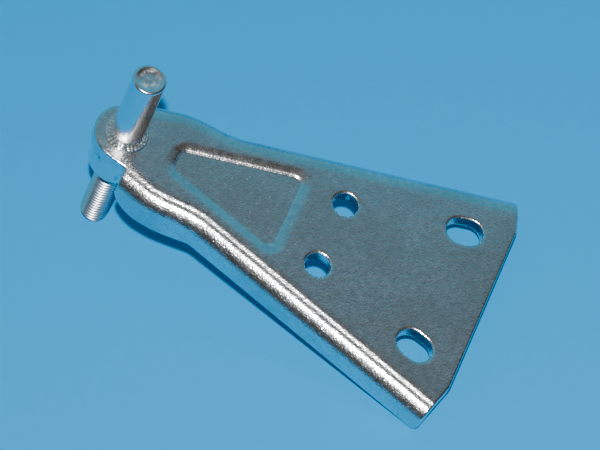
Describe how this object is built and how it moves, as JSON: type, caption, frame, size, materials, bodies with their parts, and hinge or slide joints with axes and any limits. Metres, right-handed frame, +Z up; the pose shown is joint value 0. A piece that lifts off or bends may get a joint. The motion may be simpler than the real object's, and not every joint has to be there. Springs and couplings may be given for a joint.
{
  "type": "door hinge",
  "caption": "Flanged steel bottom hinge bracket with an upright door pin, a stud below it and fixing holes and slots.",
  "frame": {"origin": "centre of the flat end of the threaded stud, on the pin's axis: the part's lowest point", "axes": "+Z up along the pin, +X from the pin to the wide end of the bracket, so the bracket is symmetric about the XZ plane"},
  "size_m": [0.0877, 0.0582, 0.0545],
  "materials": {
    "zinc_plated_sheet": "satin zinc plating on pressed steel, finely mottled",
    "zinc_plated_pin": "bright zinc plating on smooth turned steel"
  },
  "bodies": {
    "root": {"bracket": "zinc_plated_sheet", "hinge_pin": "zinc_plated_pin"}
  },
  "joints": []
}
